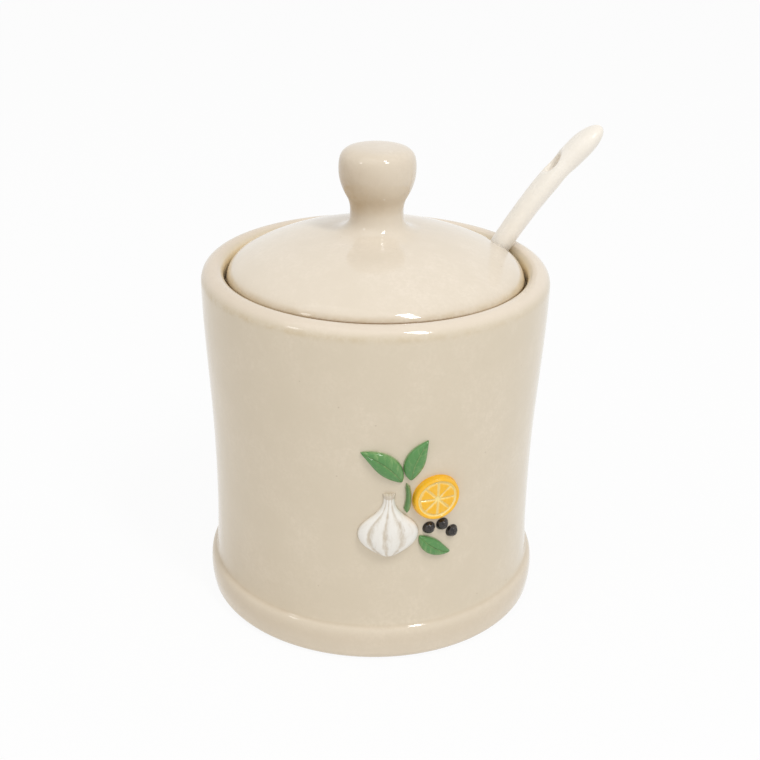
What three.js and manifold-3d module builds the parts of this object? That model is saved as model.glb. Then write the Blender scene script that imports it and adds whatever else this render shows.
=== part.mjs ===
// Seasoning jar with an inset lift-off lid and a leaning spoon, in glazed stoneware.
// Millimetres, +Z up. The origin is the centre of the foot, on the surface that the jar stands on.
// The decorated front faces -Y, and the spoon leans towards +X.

import * as THREE from 'three';
import { mergeVertices } from 'three/addons/utils/BufferGeometryUtils.js';
import Module from 'manifold-3d';

const wasm = await Module();
wasm.setup();

const { cos, sin, tan, acos, asin, atan, sqrt, hypot, PI } = Math;
const { degToRad, smoothstep } = THREE.MathUtils;

// Facet counts
const roundSteps = 56;
const knobSteps = 40;
const wallSteps = 10;
const arcSteps = 3;

// Clearances
const lidGap = 0.6;
const biteGap = 1.6;
const restGap = 0.45;
const reliefGap = 0.3;
const overrun = 1;

// Jar
const jarHeight = 102.4;
const jarRadius = 50;
const waistDepth = 2.45;
const waistHeight = 33;
const wallCurveShare = 1.17;
const rimShoulderDrop = 4.1;
const rimInnerRounding = 3;
const wallThickness = 5.75;
const floorHeight = 7.5;
const floorFillet = 9;
const ledgeWidth = 1.7;
const ledgeDrop = 6;

// Rolled foot
const rollBulge = 2.1;
const rollMiddle = 6.7;
const creaseDepth = 2;
const creaseHeight = 13.15;
const footEdgeRounding = 3;

// Lid
const lidEdgeHeight = 5.1;
const lidEdgeRounding = 3.6;
const lidSeatChamfer = 0.6;
const lidSeatWidth = 5;
const lidRise = 10.6;
const lidCentreThickness = 6;
const bossRadius = 7.7;
const bossHeight = 4.4;
const bossFillet = 7.2;
const domePowerShare = 2.6;
const dishPowerShare = 3;

// Knob, with its outline as shares of its own radius and height, from the seat up
const knobRadius = 10.95;
const knobHeight = 19.8;
const knobShares = [
  [0.693, 0.09], [0.735, 0.225], [0.885, 0.385], [0.982, 0.56],
  [1, 0.73], [0.96, 0.86], [0.88, 0.925], [0.74, 0.972], [0.42, 0.995],
];

// Spoon
const spoonSlant = degToRad(30.7);
const spoonAzimuth = degToRad(25.5);
const spoonLength = 155.2;
const handleRootWidth = 8.4;
const handleEndWidth = 11.6;
const handleRootThickness = 5.8;
const handleEndThickness = 7.1;
const handleEndRounding = 9;
const handleBend = 5.2;
const handleBendPowerShare = 2.6;
const handleBendLength = 46;
const hangingHoleRadius = 3;
const hangingHoleFlare = 0.8;
const hangingHoleInset = 16.4;
const bowlHalfLength = 17;
const bowlHalfWidth = 13;
const bowlDepth = 9;
const bowlWall = 2.6;
const bowlRimRise = 1.5;

// Raised decoration, laid out flat on the wall round its own centre: u to the right, v up
const reliefAzimuth = degToRad(-78);
const reliefHeight = 49.5;
const garlic = { u: -5.2, bottomV: -15.6, length: 19.6, halfWidth: 8.2, depth: 3.4, crease: 0.8 };
const garlicWidthShares = [0.16, 0.5, 0.78, 0.94, 1, 0.98, 0.88, 0.7, 0.47, 0.29, 0.2, 0.17, 0.2];
const cloveEdgeShares = [-1, -0.62, -0.12, 0.42, 1];
const lemon = { u: 7.9, v: 1.6, radius: 6.6, depth: 2, groove: 0.7 };
const peppercornRadius = 1.7;
const peppercornPlaces = [
  { u: 6.3, v: -8 },
  { u: 10.3, v: -7.6 },
  { u: 13.4, v: -10.5 },
];
const leafDepth = 1.9;
const leafVein = 0.5;
const leaves = {
  bay_leaf_left: { u: -1.9, v: 7.4, turn: degToRad(50), length: 14.5, width: 6, bend: 1.4 },
  bay_leaf_top: { u: 0.6, v: 7.8, turn: degToRad(-20), length: 12.5, width: 5.6, bend: -1.2 },
  bay_leaf_low: { u: 3.6, v: -10.2, turn: degToRad(-125), length: 11.5, width: 4.6, bend: 1 },
};
const stem = { bottomU: -0.6, bottomV: -2, topU: -0.6, topV: 7, width: 1.8, depth: 1.5, bow: 0.7 };

// Sizes worked out from the ones above
const waistRadius = jarRadius - waistDepth;
const cavityRadius = waistRadius - wallThickness;
const galleryRadius = cavityRadius + ledgeWidth;
const ledgeHeight = jarHeight - ledgeDrop;
const shoulderHeight = jarHeight - rimShoulderDrop;
const creaseRadius = jarRadius - creaseDepth;
const lidRadius = galleryRadius - lidGap;
const domeEdge = ledgeHeight + lidEdgeHeight;
const domeTop = domeEdge + lidRise;
const knobSeat = domeTop + bossHeight;

// Shared helpers

function turned(points, steps) {
  const apart = points.filter((point, index) => index === 0 || point.distanceTo(points[index - 1]) > 0);
  const geometry = new THREE.LatheGeometry(apart, steps);
  geometry.rotateX(PI / 2);
  return geometry;
}

function solidOf(geometry) {
  const bare = geometry.clone();
  bare.deleteAttribute('normal');
  bare.deleteAttribute('uv');
  const merged = mergeVertices(bare);
  const corners = merged.index.array;
  const kept = [];
  for (let i = 0; i < corners.length; i += 3) {
    const [a, b, c] = [corners[i], corners[i + 1], corners[i + 2]];
    if (a !== b && b !== c && c !== a) {
      kept.push(a, b, c);
    }
  }
  return new wasm.Manifold(new wasm.Mesh({
    numProp: 3,
    vertProperties: new Float32Array(merged.attributes.position.array),
    triVerts: new Uint32Array(kept),
  }));
}

function geometryOf(solid) {
  const mesh = solid.getMesh();
  const geometry = new THREE.BufferGeometry();
  geometry.setAttribute('position', new THREE.BufferAttribute(mesh.vertProperties, 3));
  geometry.setIndex(new THREE.BufferAttribute(mesh.triVerts, 1));
  return geometry;
}

// A closed skin over rings of points that run counter-clockwise round their way forward,
// with a single point at each end.
function skin(firstPoint, rings, lastPoint) {
  const count = rings[0].length;
  const points = [firstPoint, ...rings.flat(), lastPoint];
  const last = points.length - 1;
  const faces = [];
  for (let j = 0; j < count; j += 1) {
    const next = (j + 1) % count;
    faces.push(0, 1 + next, 1 + j);
    faces.push(last, last - count + j, last - count + next);
    for (let i = 0; i < rings.length - 1; i += 1) {
      const low = 1 + i * count;
      const high = low + count;
      faces.push(low + j, low + next, high + next);
      faces.push(low + j, high + next, high + j);
    }
  }
  const geometry = new THREE.BufferGeometry().setFromPoints(points);
  geometry.setIndex(faces);
  return geometry;
}

function piece(name, geometry, color, roughness) {
  geometry.deleteAttribute('uv');
  geometry.computeVertexNormals();
  const mesh = new THREE.Mesh(geometry, new THREE.MeshStandardMaterial({ color, roughness, metalness: 0 }));
  mesh.name = name;
  return mesh;
}

// Jar body

function wallRadiusAt(height) {
  if (height < waistHeight) {
    const flare = (waistHeight - height) / (waistHeight - creaseHeight);
    return waistRadius + (creaseRadius - waistRadius) * flare ** 3;
  }
  const rise = (height - waistHeight) / (shoulderHeight - waistHeight);
  return waistRadius + waistDepth * smoothstep(rise ** wallCurveShare, 0, 1);
}

function jarBody() {
  const rollCentre = jarRadius - rollBulge;
  const rollEnd = acos((creaseRadius - rollCentre) / rollBulge);
  const rollHalfHeight = (creaseHeight - rollMiddle) / sin(rollEnd);
  const rollStart = asin((footEdgeRounding - rollMiddle) / rollHalfHeight);
  const rollFoot = rollCentre + rollBulge * cos(rollStart);
  const crestRadius = galleryRadius + rimInnerRounding;
  const shoulderWidth = jarRadius - crestRadius;

  const outline = new THREE.Path();
  outline.moveTo(0, 0);
  outline.lineTo(rollFoot - footEdgeRounding, 0);
  outline.quadraticCurveTo(rollFoot, 0, rollFoot, footEdgeRounding);
  outline.absellipse(rollCentre, rollMiddle, rollBulge, rollHalfHeight, rollStart, rollEnd);
  for (let i = 1; i <= wallSteps; i += 1) {
    const height = creaseHeight + (shoulderHeight - creaseHeight) * i / wallSteps;
    outline.lineTo(wallRadiusAt(height), height);
  }
  outline.absellipse(crestRadius, shoulderHeight, shoulderWidth, rimShoulderDrop, 0, PI / 2);
  outline.absarc(crestRadius, jarHeight - rimInnerRounding, rimInnerRounding, PI / 2, PI);
  outline.lineTo(galleryRadius, ledgeHeight);
  outline.lineTo(cavityRadius, ledgeHeight);
  outline.lineTo(cavityRadius, floorHeight + floorFillet);
  outline.absarc(cavityRadius - floorFillet, floorHeight + floorFillet, floorFillet, 0, -PI / 2, true);
  outline.lineTo(0, floorHeight);
  return piece('jar_body', turned(outline.getPoints(arcSteps), roundSteps), '#d9ccb6', 0.22);
}

// Lid and knob

function domeHeightAt(radius) {
  return domeEdge + lidRise * (1 - (radius / lidRadius) ** domePowerShare);
}

function lidOutline() {
  const dishRadius = lidRadius - lidSeatWidth;
  const dishDepth = domeTop - lidCentreThickness - ledgeHeight;
  const shoulder = lidRadius - lidEdgeRounding;
  const filletFoot = bossRadius + bossFillet;
  const outline = new THREE.Path();
  outline.moveTo(0, ledgeHeight + dishDepth);
  for (let i = 1; i <= wallSteps; i += 1) {
    const share = i / wallSteps;
    outline.lineTo(dishRadius * share, ledgeHeight + dishDepth * (1 - share ** dishPowerShare));
  }
  outline.lineTo(lidRadius - lidSeatChamfer, ledgeHeight);
  outline.lineTo(lidRadius, ledgeHeight + lidSeatChamfer);
  outline.lineTo(lidRadius, domeEdge - lidEdgeRounding);
  outline.quadraticCurveTo(lidRadius, domeEdge, shoulder, domeHeightAt(shoulder));
  for (let i = 1; i <= wallSteps; i += 1) {
    const radius = shoulder + (filletFoot - shoulder) * i / wallSteps;
    outline.lineTo(radius, domeHeightAt(radius));
  }
  outline.quadraticCurveTo(bossRadius, domeTop, bossRadius, knobSeat);
  outline.lineTo(0, knobSeat);
  return outline;
}

function lid() {
  const body = solidOf(turned(lidOutline().getPoints(arcSteps), roundSteps));
  const bite = solidOf(spoonBite());
  return piece('lid', geometryOf(body.subtract(bite)), '#e6dac6', 0.2);
}

function lidKnob() {
  const side = knobShares.map(([radiusShare, heightShare]) => {
    return new THREE.Vector2(knobRadius * radiusShare, knobSeat + knobHeight * heightShare);
  });
  const foot = new THREE.Vector2(bossRadius, knobSeat);
  const crown = new THREE.Vector2(0, knobSeat + knobHeight);
  const curve = new THREE.SplineCurve([foot, ...side, crown]);
  const points = [new THREE.Vector2(0, knobSeat), ...curve.getPoints(knobShares.length * 2 + 2)];
  return piece('lid_knob', turned(points, knobSteps), '#dccfb9', 0.2);
}

// Spoon, drawn along its own Z from the end of the bowl, with its face towards -X

const bowlSupport = hypot(bowlDepth * sin(spoonSlant), bowlHalfLength * cos(spoonSlant));

function handleBack(along) {
  const share = Math.max(0, (along - spoonLength + handleBendLength) / handleBendLength);
  return handleBend * share ** handleBendPowerShare;
}

function handleTurn(along) {
  const share = Math.max(0, (along - spoonLength + handleBendLength) / handleBendLength);
  const slope = handleBend * handleBendPowerShare / handleBendLength;
  return atan(slope * share ** (handleBendPowerShare - 1));
}

function handleSize(rootSize, endSize, along) {
  const root = 2 * bowlHalfLength;
  const share = Math.max(0, (along - root) / (spoonLength - root));
  return rootSize + (endSize - rootSize) * share ** 3;
}

function handleRing(along, halfThickness, halfWidth) {
  const ringSteps = 20;
  const turn = handleTurn(along);
  const ring = [];
  for (let j = 0; j < ringSteps; j += 1) {
    const angle = 2 * PI * j / ringSteps;
    const back = halfThickness * cos(angle);
    ring.push(new THREE.Vector3(
      handleBack(along) + back * cos(turn),
      halfWidth * sin(angle),
      along - back * sin(turn),
    ));
  }
  return ring;
}

function handleGeometry() {
  const stationShares = [0, 0.18, 0.36, 0.52, 0.64, 0.73, 0.8, 0.86, 0.92, 0.96, 1];
  const endShares = [0.35, 0.6, 0.78, 0.9, 0.97];
  const root = bowlHalfLength * 2 - bowlWall * 2;
  const shoulder = spoonLength - handleEndRounding;
  const ringAt = (along, fullness) => {
    const thickness = handleSize(handleRootThickness, handleEndThickness, along) * fullness;
    const width = handleSize(handleRootWidth, handleEndWidth, along) * fullness;
    return handleRing(along, thickness / 2, width / 2);
  };
  const rings = stationShares.map((share) => ringAt(root + (shoulder - root) * share, 1));
  for (const share of endShares) {
    rings.push(ringAt(shoulder + handleEndRounding * share, sqrt(1 - share ** 2)));
  }
  const firstPoint = new THREE.Vector3(0, 0, root);
  const lastPoint = new THREE.Vector3(handleBack(spoonLength), 0, spoonLength);
  return skin(firstPoint, rings, lastPoint);
}

function ellipsoid(depth, halfWidth, halfLength, steps) {
  const geometry = new THREE.SphereGeometry(1, steps, steps / 2);
  geometry.scale(depth, halfWidth, halfLength);
  geometry.translate(-bowlRimRise, 0, bowlHalfLength);
  return geometry;
}

function hangingHole() {
  const along = spoonLength - hangingHoleInset;
  const half = handleSize(handleRootThickness, handleEndThickness, along) / 2;
  const mouth = hangingHoleRadius + hangingHoleFlare + overrun;
  const outline = new THREE.Path();
  outline.moveTo(0, -half - overrun);
  outline.lineTo(mouth, -half - overrun);
  outline.lineTo(hangingHoleRadius, hangingHoleFlare - half);
  outline.lineTo(hangingHoleRadius, half - hangingHoleFlare);
  outline.lineTo(mouth, half + overrun);
  outline.lineTo(0, half + overrun);
  const geometry = new THREE.LatheGeometry(outline.getPoints(), 24);
  geometry.rotateZ(-PI / 2);
  geometry.rotateY(handleTurn(along));
  geometry.translate(handleBack(along), 0, along);
  return geometry;
}

function spoon() {
  const above = new THREE.BoxGeometry(bowlDepth * 2, bowlHalfWidth * 3, bowlHalfLength * 3);
  above.translate(-bowlRimRise - bowlDepth, 0, bowlHalfLength);
  const shell = solidOf(ellipsoid(bowlDepth, bowlHalfWidth, bowlHalfLength, 32));
  const hollow = solidOf(ellipsoid(
    bowlDepth - bowlWall,
    bowlHalfWidth - bowlWall,
    bowlHalfLength - bowlWall,
    28,
  ));
  const solid = shell.subtract(solidOf(above))
    .add(solidOf(handleGeometry()))
    .subtract(hollow)
    .subtract(solidOf(hangingHole()));
  return piece('spoon', geometryOf(solid), '#f1e9dc', 0.35);
}

// The spoon rests with its bowl on the floor and its handle on the rounding inside the rim.
function spoonPlace() {
  const rimSlant = atan(tan(spoonSlant) * cos(spoonAzimuth));
  const contactRadius = galleryRadius + rimInnerRounding * (1 - cos(rimSlant));
  const contactHeight = jarHeight - rimInnerRounding * (1 - sin(rimSlant));
  const foot = floorHeight + restGap + bowlSupport
    - bowlRimRise * sin(spoonSlant) - bowlHalfLength * cos(spoonSlant);
  const along = (contactHeight - foot) / cos(spoonSlant);
  const thickness = handleSize(handleRootThickness, handleEndThickness, along);
  const width = handleSize(handleRootWidth, handleEndWidth, along);
  const reach = hypot(
    thickness / 2 / cos(spoonSlant) * cos(spoonAzimuth),
    width / 2 * sin(spoonAzimuth),
  );
  const radius = contactRadius - reach - restGap;
  return new THREE.Vector3(
    radius * cos(spoonAzimuth) - along * sin(spoonSlant),
    radius * sin(spoonAzimuth),
    foot,
  );
}

// The bite in the lid's edge follows the handle's slant and is open outwards,
// so the lid lifts straight up past the handle.
function spoonBite() {
  const place = spoonPlace();
  const along = (ledgeHeight - place.z) / cos(spoonSlant);
  const high = (domeTop - place.z) / cos(spoonSlant);
  const halfWidth = handleSize(handleRootWidth, handleEndWidth, high) / 2 + biteGap;
  const face = handleSize(handleRootThickness, handleEndThickness, high) / 2 + biteGap;
  const outline = new THREE.Shape();
  outline.moveTo(lidRadius, -halfWidth);
  outline.lineTo(lidRadius, halfWidth);
  outline.lineTo(halfWidth - face, halfWidth);
  outline.absarc(halfWidth - face, 0, halfWidth, PI / 2, 3 * PI / 2);
  outline.lineTo(lidRadius, -halfWidth);
  const depth = high - along + lidSeatWidth * 2;
  const geometry = new THREE.ExtrudeGeometry(outline, { depth, bevelEnabled: false, curveSegments: 12 });
  geometry.translate(0, 0, along - lidSeatWidth);
  geometry.rotateY(spoonSlant);
  geometry.translate(place.x, place.y, place.z);
  return geometry;
}

// Raised decoration

function onWall(u, v, lift) {
  const height = reliefHeight + v;
  const radius = wallRadiusAt(height) + reliefGap + lift;
  const azimuth = reliefAzimuth + u / wallRadiusAt(reliefHeight);
  return new THREE.Vector3(radius * cos(azimuth), radius * sin(azimuth), height);
}

// A flat-backed piece of clay. edge(angle) is its outline round the centre, and lift(share, angle)
// its height at a share of the way out to that outline.
function clayPad({ u, v }, steps, ringShares, edge, lift) {
  const ringAt = (share, heightOf) => {
    const ring = [];
    for (let j = 0; j < steps; j += 1) {
      const angle = 2 * PI * j / steps;
      const reach = edge(angle) * share;
      ring.push(onWall(u + reach * cos(angle), v + reach * sin(angle), heightOf(share, angle)));
    }
    return ring;
  };
  const flat = () => 0;
  const rings = [ringAt(0.5, flat), ringAt(1, flat)];
  for (const share of ringShares) {
    rings.push(ringAt(share, lift));
  }
  return skin(onWall(u, v, 0), rings, onWall(u, v, lift(0, 0)));
}

function lemonSlice() {
  const { radius, depth, groove } = lemon;
  const segments = 8;
  const stepsPerSegment = 6;
  const heartShare = 0.2;
  const fleshShare = 0.76;
  const rindShare = 0.83;
  const lift = (share, angle) => {
    if (share > rindShare) {
      return depth * sqrt(1 - ((share - rindShare) / (1 - rindShare)) ** 4);
    }
    const isFlesh = share > heartShare && share < fleshShare;
    const fullness = sqrt(Math.abs(sin(angle * segments / 2)));
    return depth - groove + (isFlesh ? groove * 0.75 * fullness : 0);
  };
  const ringShares = [0.98, 0.92, 0.84, 0.8, 0.76, 0.72, 0.48, 0.22, 0.15];
  const geometry = clayPad(lemon, segments * stepsPerSegment, ringShares, () => radius, lift);
  return piece('lemon_slice', geometry, '#e0b64c', 0.25);
}

function peppercorn(name, place) {
  const lift = (share) => peppercornRadius * (0.9 * sqrt(1 - share ** 2) + 0.1 * (1 - share));
  const geometry = clayPad(place, 18, [0.95, 0.75, 0.4], () => peppercornRadius, lift);
  return piece(name, geometry, '#2f2b27', 0.25);
}

// A strip of clay along a line, with its cross-section given as shares of its half width and of
// its depth, clockwise from the top seen from its start. The rings lie closer towards its ends.
function clayStrip(sectionShares, lineAt, halfWidthAt, depthAt, steps) {
  const rings = [];
  for (let i = 1; i < steps; i += 1) {
    const share = (1 - cos(PI * i / steps)) / 2;
    const { u, v, turn } = lineAt(share);
    rings.push(sectionShares.map(([acrossShare, liftShare]) => {
      const across = halfWidthAt(share) * acrossShare;
      return onWall(u + across * cos(turn), v + across * sin(turn), depthAt(share) * liftShare);
    }));
  }
  const start = lineAt(0);
  const end = lineAt(1);
  return skin(onWall(start.u, start.v, 0), rings, onWall(end.u, end.v, 0));
}

function garlicBulb() {
  const { u, bottomV, length, halfWidth, depth, crease } = garlic;
  const cloveSteps = 5;
  const sectionShares = [];
  cloveEdgeShares.slice(1).forEach((end, index) => {
    const start = cloveEdgeShares[index];
    for (let i = 0; i < cloveSteps; i += 1) {
      const within = i / cloveSteps;
      const across = start + (end - start) * within;
      const groove = crease / depth * (1 - sqrt(sin(PI * within)));
      sectionShares.push([across, sqrt(1 - across ** 2) * (1 - groove)]);
    }
  });
  sectionShares.push([1, 0], [0.5, 0], [0, 0], [-0.5, 0]);
  const widths = new THREE.SplineCurve(garlicWidthShares.map((share, i) => new THREE.Vector2(i, share)));
  const widthShareAt = (share) => widths.getPoint(share).y;
  const lineAt = (share) => ({ u, v: bottomV + length * share, turn: 0 });
  const halfWidthAt = (share) => halfWidth * widthShareAt(share);
  const depthAt = (share) => depth * sqrt(widthShareAt(share));
  const geometry = clayStrip(sectionShares, lineAt, halfWidthAt, depthAt, 18);
  return piece('garlic_bulb', geometry, '#efe9dd', 0.25);
}

function bayLeaf(name, { u, v, turn, length, width, bend }) {
  const veinShare = 1 - leafVein / leafDepth;
  const sectionShares = [
    [0, veinShare], [0.1, 0.97], [0.5, 0.88], [0.88, 0.5], [1, 0],
    [0, 0], [-1, 0], [-0.88, 0.5], [-0.5, 0.88], [-0.1, 0.97],
  ];
  const lineAt = (share) => {
    const along = length * share;
    const aside = bend * 4 * share * (1 - share);
    return {
      u: u - along * sin(turn) + aside * cos(turn),
      v: v + along * cos(turn) + aside * sin(turn),
      turn: turn - atan(bend * 4 * (1 - 2 * share) / length),
    };
  };
  const halfWidthAt = (share) => width / 2 * sin(PI * share ** 0.85) ** 0.85;
  const depthAt = (share) => leafDepth * sin(PI * share) ** 0.4;
  const geometry = clayStrip(sectionShares, lineAt, halfWidthAt, depthAt, 14);
  return piece(name, geometry, '#6f8a4e', 0.28);
}

function bayStem() {
  const { bottomU, bottomV, topU, topV, width, depth, bow } = stem;
  const sectionShares = [[0, 1], [0.7, 0.7], [1, 0], [0, 0], [-1, 0], [-0.7, 0.7]];
  const turn = atan((bottomU - topU) / (topV - bottomV));
  const lineAt = (share) => {
    return {
      u: bottomU + (topU - bottomU) * share + bow * 4 * share * (1 - share),
      v: bottomV + (topV - bottomV) * share,
      turn,
    };
  };
  const taperAt = (share) => width / 2 * (1 - 0.4 * share) * Math.min(1, 8 * share, 8 - 8 * share);
  const geometry = clayStrip(sectionShares, lineAt, taperAt, () => depth, 10);
  return piece('bay_stem', geometry, '#5f7742', 0.28);
}

// Assembly

const jar = new THREE.Group();
jar.add(jarBody(), garlicBulb(), lemonSlice(), bayStem());
for (const [name, leaf] of Object.entries(leaves)) {
  jar.add(bayLeaf(name, leaf));
}
peppercornPlaces.forEach((place, index) => {
  jar.add(peppercorn(`peppercorn_${index + 1}`, place));
});

const lidGroup = new THREE.Group();
lidGroup.add(lid(), lidKnob());

const spoonGroup = new THREE.Group();
spoonGroup.rotation.y = spoonSlant;
spoonGroup.position.copy(spoonPlace());
spoonGroup.add(spoon());

const group = new THREE.Group();
group.add(jar, lidGroup, spoonGroup);

export default group;
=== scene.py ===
import math

import bmesh
import bpy
import numpy as np
from mathutils import Matrix, Vector


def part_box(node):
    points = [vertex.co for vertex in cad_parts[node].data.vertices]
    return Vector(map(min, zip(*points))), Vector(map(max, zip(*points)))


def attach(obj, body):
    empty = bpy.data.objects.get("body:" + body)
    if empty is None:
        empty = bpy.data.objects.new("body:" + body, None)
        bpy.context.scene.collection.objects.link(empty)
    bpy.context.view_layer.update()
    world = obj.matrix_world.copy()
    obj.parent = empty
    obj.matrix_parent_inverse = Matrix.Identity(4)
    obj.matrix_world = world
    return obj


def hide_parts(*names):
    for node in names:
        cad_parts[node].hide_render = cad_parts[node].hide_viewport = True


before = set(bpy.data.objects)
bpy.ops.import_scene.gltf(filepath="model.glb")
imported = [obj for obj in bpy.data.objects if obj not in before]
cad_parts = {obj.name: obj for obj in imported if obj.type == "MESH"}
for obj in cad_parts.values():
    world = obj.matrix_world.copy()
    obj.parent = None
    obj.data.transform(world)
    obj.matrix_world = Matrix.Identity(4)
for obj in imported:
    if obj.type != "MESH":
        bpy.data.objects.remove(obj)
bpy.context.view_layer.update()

MM = 0.001
MICRON = 0.000001

# Jar, as the part has it
JAR_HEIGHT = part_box("jar_body")[1].z
ROLL_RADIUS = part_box("jar_body")[1].x
LEDGE_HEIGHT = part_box("lid")[0].z
WAIST_RADIUS = 47.55 * MM
WAIST_DEPTH = 2.45 * MM
WAIST_HEIGHT = 33 * MM
WALL_CURVE_SHARE = 1.17
RIM_SHOULDER_DROP = 4.1 * MM
RIM_INNER_ROUNDING = 3 * MM
WALL_THICKNESS = 5.75 * MM
FLOOR_HEIGHT = 7.5 * MM
FLOOR_FILLET = 9 * MM
LEDGE_WIDTH = 1.7 * MM
ROLL_BULGE = 2.1 * MM
ROLL_MIDDLE = 6.7 * MM
CREASE_DEPTH = 2 * MM
CREASE_HEIGHT = 13.15 * MM
FOOT_EDGE_ROUNDING = 3 * MM
FOOT_SHOULDER_HEIGHT = 9.4 * MM
FOOT_SHOULDER_LEAN = 0.18 * MM
FOOT_SHOULDER_CLIMB = 1.5 * MM
FOOT_LINE_INSET = 1.5 * MM
FOOT_LINE_HEIGHT = 11.6 * MM
FOOT_LINE_TURN = 0.45 * MM
FOOT_LINE_CLIMB = 0.4 * MM
FOOT_SWEEP_HEIGHT = 15 * MM
FOOT_SAG = 0.8 * MM
FOOT_SAG_REACH = 3 * MM
RIM_DIP = 0.8 * MM
RIM_RADIUS = WAIST_RADIUS + WAIST_DEPTH
CREASE_RADIUS = ROLL_RADIUS - CREASE_DEPTH
FOOT_LINE_RADIUS = ROLL_RADIUS - FOOT_LINE_INSET
SHOULDER_HEIGHT = JAR_HEIGHT - RIM_SHOULDER_DROP
CAVITY_RADIUS = WAIST_RADIUS - WALL_THICKNESS
GALLERY_RADIUS = CAVITY_RADIUS + LEDGE_WIDTH

# Lid and knob
LID_RADIUS = -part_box("lid")[0].x
KNOB_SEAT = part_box("lid_knob")[0].z
KNOB_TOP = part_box("lid_knob")[1].z
KNOB_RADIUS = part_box("lid_knob")[1].x
LID_EDGE_HEIGHT = 5.1 * MM
LID_EDGE_ROUNDING = 3.6 * MM
LID_SEAT_CHAMFER = 0.6 * MM
LID_SEAT_WIDTH = 5 * MM
LID_RISE = 10.6 * MM
LID_CENTRE_THICKNESS = 6 * MM
BOSS_RADIUS = 7.7 * MM
BOSS_FILLET = 7.2 * MM
DOME_POWER_SHARE = 2.6
DISH_POWER_SHARE = 3

# The knob's outline from its seat to its top: shares of its radius and of its height
KNOB_SHARES = [
    (0.693, 0.09), (0.735, 0.225), (0.885, 0.385), (0.982, 0.56),
    (1, 0.73), (0.96, 0.86), (0.88, 0.925), (0.74, 0.972), (0.42, 0.995),
]
DOME_EDGE = LEDGE_HEIGHT + LID_EDGE_HEIGHT
DOME_TOP = DOME_EDGE + LID_RISE

# Painted shade: a dark line in the gap between the lid and the rim. It lies higher on the lid's front and
# the rim's back.
SEAM_DROP = 3.2 * MM
SEAM_RISE = 2.4 * MM
SEAM_FADE = 0.4 * MM
SEAM_END_FADE = 1 * MM
SEAM_WIDTH = 1.8 * MM
RIM_SEAM_DROP = 1 * MM
SEAM_HEIGHT = DOME_EDGE - SEAM_DROP

# Spoon, drawn along its own Z from the end of the bowl, with its face towards -X
SPOON_SLANT = math.radians(30.7)
SPOON_LENGTH = 155.15 * MM
HANDLE_ROOT_WIDTH = 8.4 * MM
HANDLE_END_WIDTH = 11.6 * MM
HANDLE_ROOT_THICKNESS = 5.8 * MM
HANDLE_END_THICKNESS = 7.1 * MM
HANDLE_END_ROUNDING = 9 * MM
HANDLE_BEND = 5.2 * MM
HANDLE_BEND_POWER_SHARE = 2.6
HANDLE_BEND_LENGTH = 46 * MM
HOLE_RADIUS = 3 * MM
HOLE_FLARE = 1.3 * MM
HOLE_INSET = 16.4 * MM
BOWL_HALF_LENGTH = 17 * MM
BOWL_HALF_WIDTH = 13 * MM
BOWL_DEPTH = 9 * MM
BOWL_WALL = 2.6 * MM
BOWL_RIM_RISE = 1.5 * MM
BITE_GAP = 1.6 * MM

# Relief, laid out flat on the wall round its own centre: u to the right, v up
RELIEF_AZIMUTH = math.radians(-78)
RELIEF_HEIGHT = 49.5 * MM
RELIEF_SINK = 0.35 * MM
RELIEF_FLARE = 0.5 * MM

# Rings of a round pad's foot: shares of the flare and of the sink, and how much of the enamel is missing
PAD_FOOT_SHARES = ((0.15, 0.1, 0.4), (0.5, 0, 0.8), (1, -0.25, 1), (0.2, -1, 1))
STRIP_FOOT_SHARES = (1, 0.6, 0, -0.6, -1)
STRIP_EDGE_SHARE = 0.93

# Garlic, lemon slice, bay leaves, stem and peppercorns
GARLIC_START = (-5.2 * MM, -15.6 * MM)
GARLIC_LENGTH = 19.6 * MM
GARLIC_HALF_WIDTH = 8.2 * MM
GARLIC_DEPTH = 3.4 * MM
GARLIC_WIDTH_SHARES = (0.16, 0.5, 0.78, 0.94, 1, 0.98, 0.88, 0.7, 0.47, 0.29, 0.2, 0.17, 0.2)
GARLIC_CREASE_SHARES = (-0.62, -0.12, 0.42)
GARLIC_NECK_SHARE = 0.93
LEMON_PLACE = (7.9 * MM, 1.6 * MM)
LEMON_RADIUS = 6.6 * MM
LEMON_DEPTH = 2 * MM
LEMON_GROOVE = 0.7 * MM
LEMON_SEGMENTS = 8
LEMON_HEART_SHARE = 0.1
LEMON_FLESH_SHARE = 0.76
LEMON_LIP_SHARE = 0.78
LEMON_LIP_WIDTH_SHARE = 0.08
LEMON_RIND_SHARE = 0.83
MEMBRANE_FADE = 0.55 * MM
LEAF_DEPTH = 1.9 * MM

# Each leaf's start, lean in degrees, length, width and bow
LEAVES = {
    "bay_leaf_left": ((-1.9 * MM, 7.4 * MM), 50, 14.5 * MM, 6 * MM, 1.4 * MM),
    "bay_leaf_top": ((0.6 * MM, 7.8 * MM), -20, 12.5 * MM, 5.6 * MM, -1.2 * MM),
    "bay_leaf_low": ((3.6 * MM, -10.2 * MM), -125, 11.5 * MM, 4.6 * MM, 1 * MM),
}
STEM_START = (-0.6 * MM, -2 * MM)
STEM_LENGTH = 9 * MM
STEM_BOW = 0.7 * MM
STEM_HALF_WIDTH = 0.9 * MM
STEM_DEPTH = 1.5 * MM
PEPPER_RADIUS = 1.7 * MM
PEPPER_PLACES = ((6.3 * MM, -8 * MM), (10.3 * MM, -7.6 * MM), (13.4 * MM, -10.5 * MM))

# Slow waves of hand-finished clay: how far in they go, their climb in radians a metre, and the radius at
# the axis where a point has no bearing
POT_UNEVENNESS = 0.12 * MM
LID_UNEVENNESS = 0.1 * MM
WAVE_CLIMB = 90
AXIS_REACH = 1 * MM
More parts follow.
